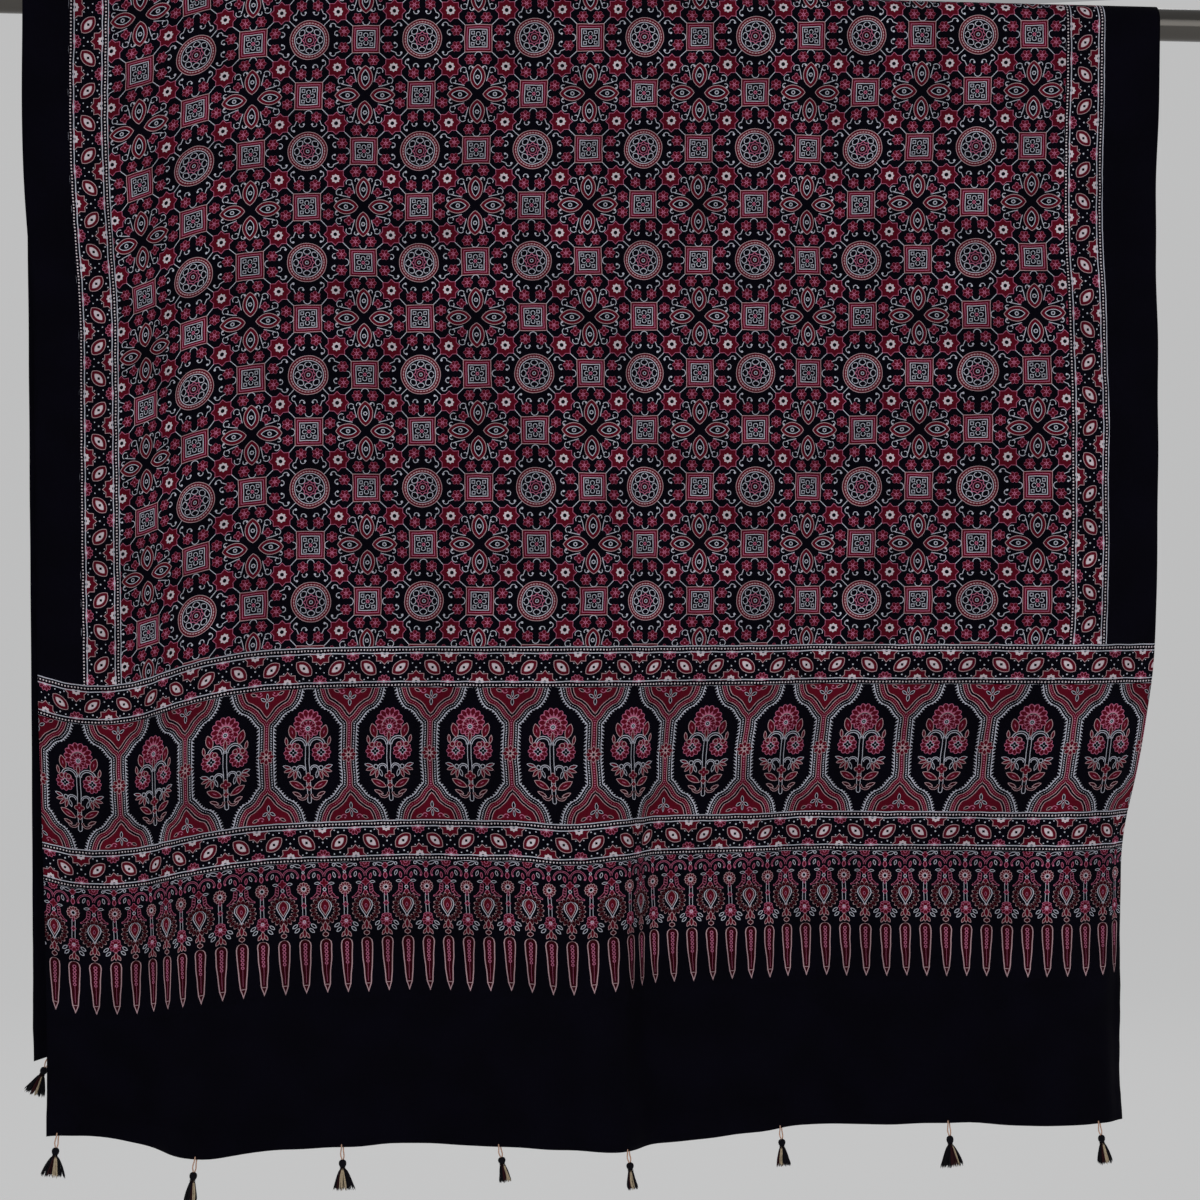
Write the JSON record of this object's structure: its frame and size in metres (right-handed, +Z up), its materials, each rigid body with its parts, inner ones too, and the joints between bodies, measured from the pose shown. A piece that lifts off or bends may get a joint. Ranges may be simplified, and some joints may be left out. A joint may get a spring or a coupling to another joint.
{
  "type": "ajrakh cloth hanging on a rod",
  "caption": "Block-printed cotton shawl folded over a round steel rod, with a star lattice field, border bands, plain ends and small tassels on its hems.",
  "frame": {"origin": "on the rod's axis, at the middle of the cloth's width where it crosses the rod", "axes": "+X along the rod to the right as seen from the front, -Y out of the cloth's front face, +Z up"},
  "size_m": [1.3, 0.1676, 1.1721],
  "materials": {
    "rod_steel": "polished",
    "printed_cotton": "matte",
    "tassel_yarn": "matte"
  },
  "bodies": {
    "root": {"rod": "rod_steel", "cloth": "printed_cotton", "tassel_front_1": "tassel_yarn", "tassel_front_2": "tassel_yarn", "tassel_front_3": "tassel_yarn", "tassel_front_4": "tassel_yarn", "tassel_front_5": "tassel_yarn", "tassel_front_6": "tassel_yarn", "tassel_front_7": "tassel_yarn", "tassel_front_8": "tassel_yarn", "tassel_back_1": "tassel_yarn", "tassel_back_2": "tassel_yarn", "tassel_back_3": "tassel_yarn", "tassel_back_4": "tassel_yarn", "tassel_back_5": "tassel_yarn", "tassel_back_6": "tassel_yarn", "tassel_back_7": "tassel_yarn", "tassel_back_8": "tassel_yarn"}
  },
  "joints": []
}
